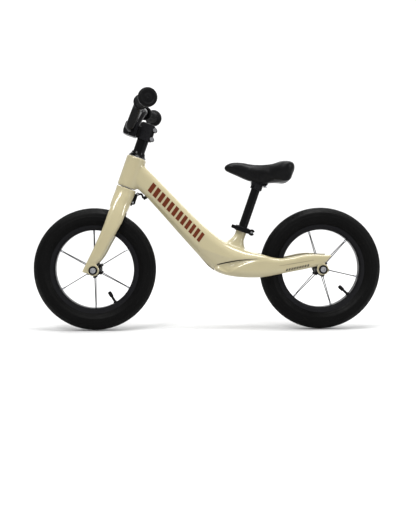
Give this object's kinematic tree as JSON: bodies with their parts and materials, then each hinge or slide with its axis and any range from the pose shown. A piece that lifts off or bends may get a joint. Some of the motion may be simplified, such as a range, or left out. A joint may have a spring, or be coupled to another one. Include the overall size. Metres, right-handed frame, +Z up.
{
  "type": "balance bike",
  "caption": "Child's balance bike with a one-piece cream frame and fork, spoked wheels, riser bar with safety grips, and a saddle on a quick-release post.",
  "frame": {"origin": "on the ground, midway between the axles, in the mid-plane", "axes": "+X to the rear, +Y to the bike's right side, +Z up"},
  "size_m": [0.852, 0.4074, 0.5611],
  "materials": {
    "cream_paint": "gloss",
    "black_alloy": "satin",
    "black_rim": "satin",
    "black_plastic": "satin",
    "grip_rubber": "matte",
    "tube_rubber": "matte",
    "tyre_rubber": "matte",
    "saddle_vinyl": "satin",
    "bright_steel": "polished",
    "spoke_steel": "satin"
  },
  "bodies": {
    "frame": {"frame_casting": "cream_paint", "limiter_frame_anchor": "black_plastic", "lower_headset_bearing": "bright_steel", "rear_axle": "bright_steel", "rear_axle_bolts": "bright_steel", "rear_axle_spacers": "black_alloy", "rear_cup_washers": "black_alloy", "seat_clamp_collar": "black_alloy", "seat_clamp_nut": "black_alloy", "seat_clamp_skewer": "bright_steel", "upper_headset_bearing": "bright_steel"},
    "fork": {"fork_casting": "cream_paint", "steerer_tube": "black_alloy", "compression_ring": "bright_steel", "headset_cover": "black_plastic", "star_nut": "bright_steel", "top_cap": "black_plastic", "top_cap_bolt": "bright_steel", "stem_body": "black_alloy", "stem_faceplate": "black_alloy", "faceplate_bolts": "bright_steel", "stem_clamp_bolts": "bright_steel", "front_axle": "bright_steel", "front_axle_bolts": "bright_steel", "front_cup_washers": "black_alloy", "front_axle_spacers": "black_alloy", "limiter_fork_bracket": "black_plastic", "limiter_fork_screws": "bright_steel", "limiter_strap": "grip_rubber"},
    "front_wheel": {"front_hub_bearings": "bright_steel", "front_hub_shell": "black_alloy", "front_inner_tube": "tube_rubber", "front_nipples": "bright_steel", "front_rim": "black_rim", "front_rim_tape": "tube_rubber", "front_spokes": "spoke_steel", "front_tyre": "tyre_rubber", "front_valve_cap": "black_plastic", "front_valve_stem": "tube_rubber"},
    "rear_wheel": {"rear_hub_bearings": "bright_steel", "rear_hub_shell": "black_alloy", "rear_inner_tube": "tube_rubber", "rear_nipples": "bright_steel", "rear_rim": "black_rim", "rear_rim_tape": "tube_rubber", "rear_spokes": "spoke_steel", "rear_tyre": "tyre_rubber", "rear_valve_cap": "black_plastic", "rear_valve_stem": "tube_rubber"},
    "handlebar": {"handlebar_tube": "black_alloy", "left_grip": "grip_rubber", "right_grip": "grip_rubber"},
    "seat": {"seat_post": "black_alloy", "saddle_clamp": "black_alloy", "saddle_clamp_bolt": "bright_steel", "saddle_base": "black_plastic", "saddle_cushion": "saddle_vinyl"},
    "lever": {"seat_clamp_lever": "black_alloy", "seat_clamp_lever_pin": "bright_steel"}
  },
  "joints": [
    {"name": "steering", "type": "hinge", "parent": "frame", "child": "fork", "pos_m": [-0.1978, 0, 0.3487], "axis": [0.3355, 0, 0.9421], "range_deg": [-40, 40], "stiffness_Nm_per_rad": 0.4},
    {"name": "front_wheel_spin", "type": "hinge", "parent": "fork", "child": "front_wheel", "pos_m": [-0.276, 0, 0.15], "axis": [0, 1, 0], "continuous": true},
    {"name": "rear_wheel_spin", "type": "hinge", "parent": "frame", "child": "rear_wheel", "pos_m": [0.276, 0, 0.15], "axis": [0, 1, 0], "continuous": true},
    {"name": "seat_height", "type": "slide", "parent": "frame", "child": "seat", "axis": [0.3256, 0, 0.9455], "range_m": [-0.038, 0.008]},
    {"name": "seat_clamp_open", "type": "hinge", "parent": "frame", "child": "lever", "pos_m": [0.10554, -0.0178, 0.23871], "axis": [0.3256, 0, 0.9455], "range_deg": [0, 120]},
    {"name": "handlebar_tilt", "type": "hinge", "parent": "fork", "child": "handlebar", "pos_m": [-0.1865, 0, 0.49074], "axis": [0, 1, 0], "range_deg": [-15, 15]}
  ]
}
